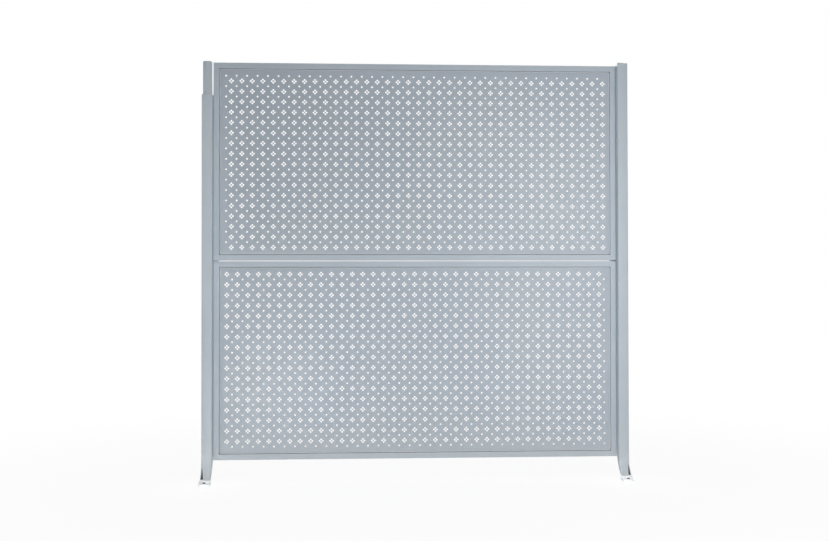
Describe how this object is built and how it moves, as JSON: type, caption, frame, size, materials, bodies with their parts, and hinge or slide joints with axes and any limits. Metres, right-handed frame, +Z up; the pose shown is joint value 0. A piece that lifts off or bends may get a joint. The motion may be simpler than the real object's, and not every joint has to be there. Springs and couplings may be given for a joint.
{
  "type": "perforated steel fence bay",
  "caption": "Steel fence bay: stacked perforated sheet trays in mitred rail frames between square posts whose legs sweep forward to bolt-down shoes.",
  "frame": {"origin": "on the flat underside of the left foot, on the centre line of the left post", "axes": "+X along the fence from the left post to the right post, +Y from the front of the fence to its back, +Z up"},
  "size_m": [2.052, 0.173, 2.014],
  "materials": {
    "post_paint": "satin",
    "frame_paint": "satin",
    "sheet_paint": "satin",
    "shoe_zinc": "matte",
    "clip_zinc": "satin"
  },
  "bodies": {
    "root": {"left_post": "post_paint", "right_post": "post_paint", "left_inner_pipe": "post_paint", "left_pipe_plug": "post_paint", "left_post_collar": "post_paint", "right_post_cap": "post_paint", "left_foot_shoe": "shoe_zinc", "right_foot_shoe": "shoe_zinc", "lower_bottom_rail": "frame_paint", "lower_top_rail": "frame_paint", "lower_left_stile": "frame_paint", "lower_right_stile": "frame_paint", "upper_bottom_rail": "frame_paint", "upper_top_rail": "frame_paint", "upper_left_stile": "frame_paint", "upper_right_stile": "frame_paint", "lower_perforated_sheet": "sheet_paint", "upper_perforated_sheet": "sheet_paint", "left_lower_clip": "clip_zinc", "left_middle_clip": "clip_zinc", "left_upper_clip": "clip_zinc", "right_lower_clip": "clip_zinc", "right_middle_clip": "clip_zinc", "right_upper_clip": "clip_zinc"}
  },
  "joints": []
}
